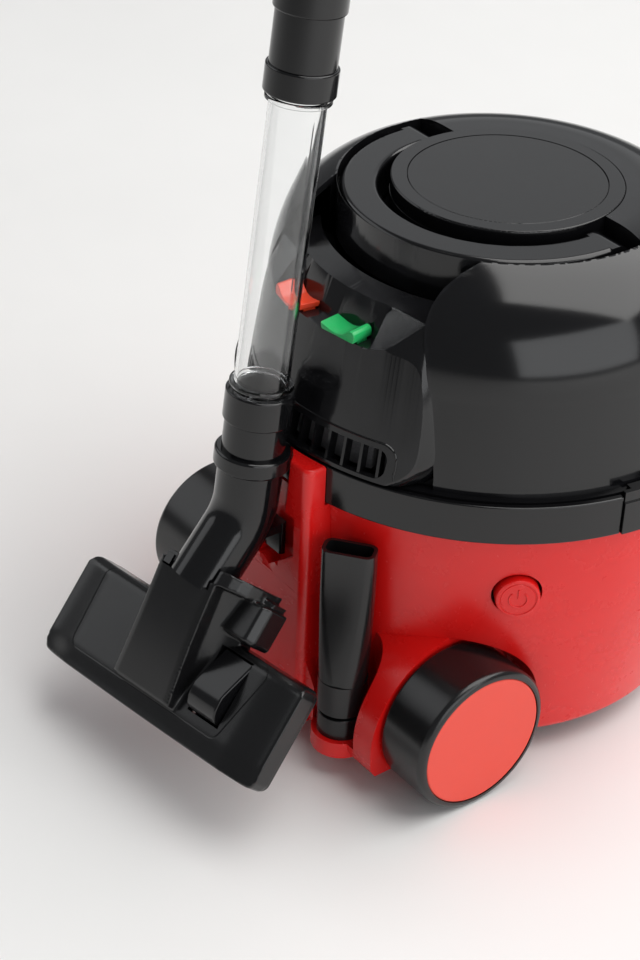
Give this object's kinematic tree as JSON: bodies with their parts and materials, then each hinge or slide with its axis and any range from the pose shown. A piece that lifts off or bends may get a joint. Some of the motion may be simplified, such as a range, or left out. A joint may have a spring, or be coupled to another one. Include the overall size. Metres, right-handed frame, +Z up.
{
  "type": "canister vacuum cleaner",
  "caption": "Small round canister vacuum with a domed black head, red drum, rear wheels, parked wand with floor head, crevice tool, carry handle and rocker switches.",
  "frame": {"origin": "on the floor, under the vertical axis of the drum", "axes": "+Z up, +Y towards the hose inlet at the front, +X to the right seen from behind; the wand and the floor head are parked on the -Y side"},
  "size_m": [0.2326, 0.319, 0.6288],
  "materials": {
    "red_body": "glossy moulded plastic",
    "red_disc": "satin coral-red plastic",
    "black_gloss": "glossy moulded black plastic",
    "black_satin": "satin moulded black plastic",
    "black_inner": "plain black plastic",
    "tyre_black": "semi-gloss black plastic tread",
    "clear_tube": "clear moulded plastic, polished",
    "red_switch": "glossy orange-red plastic",
    "green_switch": "glossy green plastic",
    "seal_rubber": "matt black rubber",
    "filter_cloth": "pale woven filter cloth",
    "filter_foam": "open-cell dark foam",
    "steel": "turned steel",
    "motor_metal": "drawn zinc-plated steel can",
    "contact_metal": "nickelled spring brass",
    "cell_wrap": "printed shrink sleeve, plain",
    "board": "green circuit board",
    "bristle": "black nylon bristle",
    "fan_plastic": "plain natural plastic"
  },
  "bodies": {
    "body": {"drum_shell": "red_body", "base_plate": "black_satin", "case_screws": "steel", "battery_cells": "cell_wrap", "battery_contacts": "contact_metal", "battery_door": "black_satin", "rear_housing": "red_body", "parking_tower": "red_body", "tool_sockets": "black_satin", "rear_axle": "steel", "hose_inlet_collar": "black_gloss", "clamp_band": "black_gloss", "head_seal": "seal_rubber", "dome_shell": "black_gloss", "control_panel": "black_gloss", "vent_grille": "black_gloss", "top_plate": "black_gloss", "top_disc": "black_gloss", "pivot_pins": "steel", "motor_can": "motor_metal", "motor_plate": "black_inner", "fan_cover": "fan_plastic", "dust_filter": "filter_cloth", "exhaust_filter": "filter_foam", "power_switch": "black_inner", "circuit_board": "board"},
    "right_wheel": {"right_tyre": "tyre_black", "right_wheel_core": "black_inner", "right_hub_disc": "red_disc"},
    "left_wheel": {"left_tyre": "tyre_black", "left_wheel_core": "black_inner", "left_hub_disc": "red_disc"},
    "right_caster": {"right_caster_fork": "black_satin", "right_caster_pin": "steel"},
    "left_caster": {"left_caster_fork": "black_satin", "left_caster_pin": "steel"},
    "right_caster_roller": {"right_caster_wheel": "black_satin"},
    "left_caster_roller": {"left_caster_wheel": "black_satin"},
    "handle": {"carry_handle": "black_gloss"},
    "button": {"power_button": "red_body"},
    "red_switch": {"red_rocker": "red_switch"},
    "green_switch": {"green_rocker": "green_switch"},
    "right_clip": {"right_latch": "black_gloss"},
    "left_clip": {"left_latch": "black_gloss"},
    "rotor": {"motor_shaft": "steel", "impeller": "fan_plastic"},
    "wand": {"neck_elbow": "black_gloss", "swivel_collar": "black_gloss", "lower_connector": "black_gloss", "lower_tube": "clear_tube", "upper_connector": "black_gloss", "upper_tube": "clear_tube", "bent_handle": "black_gloss"},
    "floor_head": {"floor_head_shell": "black_satin", "sole_plate": "black_satin"},
    "foot_pedal": {"pedal": "black_gloss"},
    "brush": {"brush_strip": "bristle"},
    "crevice": {"crevice_tool": "black_satin"}
  },
  "joints": [
    {"name": "right_wheel_spin", "type": "hinge", "parent": "body", "child": "right_wheel", "pos_m": [0.0879, -0.0798, 0.0345], "axis": [1, 0, 0], "continuous": true},
    {"name": "left_wheel_spin", "type": "hinge", "parent": "body", "child": "left_wheel", "pos_m": [-0.0879, -0.0798, 0.0345], "axis": [1, 0, 0], "continuous": true},
    {"name": "right_caster_swivel", "type": "hinge", "parent": "body", "child": "right_caster", "pos_m": [0.046, 0.056, 0.024], "axis": [0, 0, 1], "continuous": true},
    {"name": "left_caster_swivel", "type": "hinge", "parent": "body", "child": "left_caster", "pos_m": [-0.046, 0.056, 0.024], "axis": [0, 0, 1], "continuous": true},
    {"name": "right_caster_roll", "type": "hinge", "parent": "right_caster", "child": "right_caster_roller", "pos_m": [0.046, 0.051, 0.009], "axis": [1, 0, 0], "continuous": true},
    {"name": "left_caster_roll", "type": "hinge", "parent": "left_caster", "child": "left_caster_roller", "pos_m": [-0.046, 0.051, 0.009], "axis": [1, 0, 0], "continuous": true},
    {"name": "handle_lift", "type": "hinge", "parent": "body", "child": "handle", "pos_m": [0, 0, 0.227], "axis": [-1, 0, 0], "range_deg": [0, 90]},
    {"name": "power_button_press", "type": "slide", "parent": "body", "child": "button", "axis": [-0.8387, 0.5446, 0], "range_m": [0, 0.0025], "stiffness_N_per_m": 400, "springref_m": -0.003},
    {"name": "red_rocker_tilt", "type": "hinge", "parent": "body", "child": "red_switch", "pos_m": [-0.0168, -0.0996, 0.198], "axis": [1, 0, 0], "range_deg": [-5, 5]},
    {"name": "green_rocker_tilt", "type": "hinge", "parent": "body", "child": "green_switch", "pos_m": [0.0168, -0.0996, 0.198], "axis": [1, 0, 0], "range_deg": [-5, 5]},
    {"name": "right_latch_open", "type": "hinge", "parent": "body", "child": "right_clip", "pos_m": [0.111, 0, 0.1289], "axis": [0, 1, 0], "range_deg": [0, 30]},
    {"name": "left_latch_open", "type": "hinge", "parent": "body", "child": "left_clip", "pos_m": [-0.111, 0, 0.1289], "axis": [0, -1, 0], "range_deg": [0, 30]},
    {"name": "fan_spin", "type": "hinge", "parent": "body", "child": "rotor", "pos_m": [0, 0, 0.16], "axis": [0, 0, 1], "continuous": true},
    {"name": "wand_lift_off", "type": "slide", "parent": "body", "child": "wand", "axis": [0, 0, 1], "range_m": [0, 0.06]},
    {"name": "floor_head_tilt", "type": "hinge", "parent": "wand", "child": "floor_head", "pos_m": [-0.00357, -0.1576, 0.08198], "axis": [0.9936, 0.0974, 0.0576], "range_deg": [-12, 15]},
    {"name": "pedal_rock", "type": "hinge", "parent": "floor_head", "child": "foot_pedal", "pos_m": [0.03109, -0.15906, 0.0681], "axis": [0.9936, 0.0974, 0.0576], "range_deg": [0, 5]},
    {"name": "brush_drop", "type": "slide", "parent": "floor_head", "child": "brush", "axis": [-0.0342, 0.7434, -0.668], "range_m": [0, 0.003]},
    {"name": "crevice_tool_lift", "type": "slide", "parent": "body", "child": "crevice", "axis": [0, 0, 1], "range_m": [0, 0.009]}
  ],
  "couplings": [
    {"joint": "brush_drop", "follows": "pedal_rock", "m_per_rad": 0.034377}
  ]
}
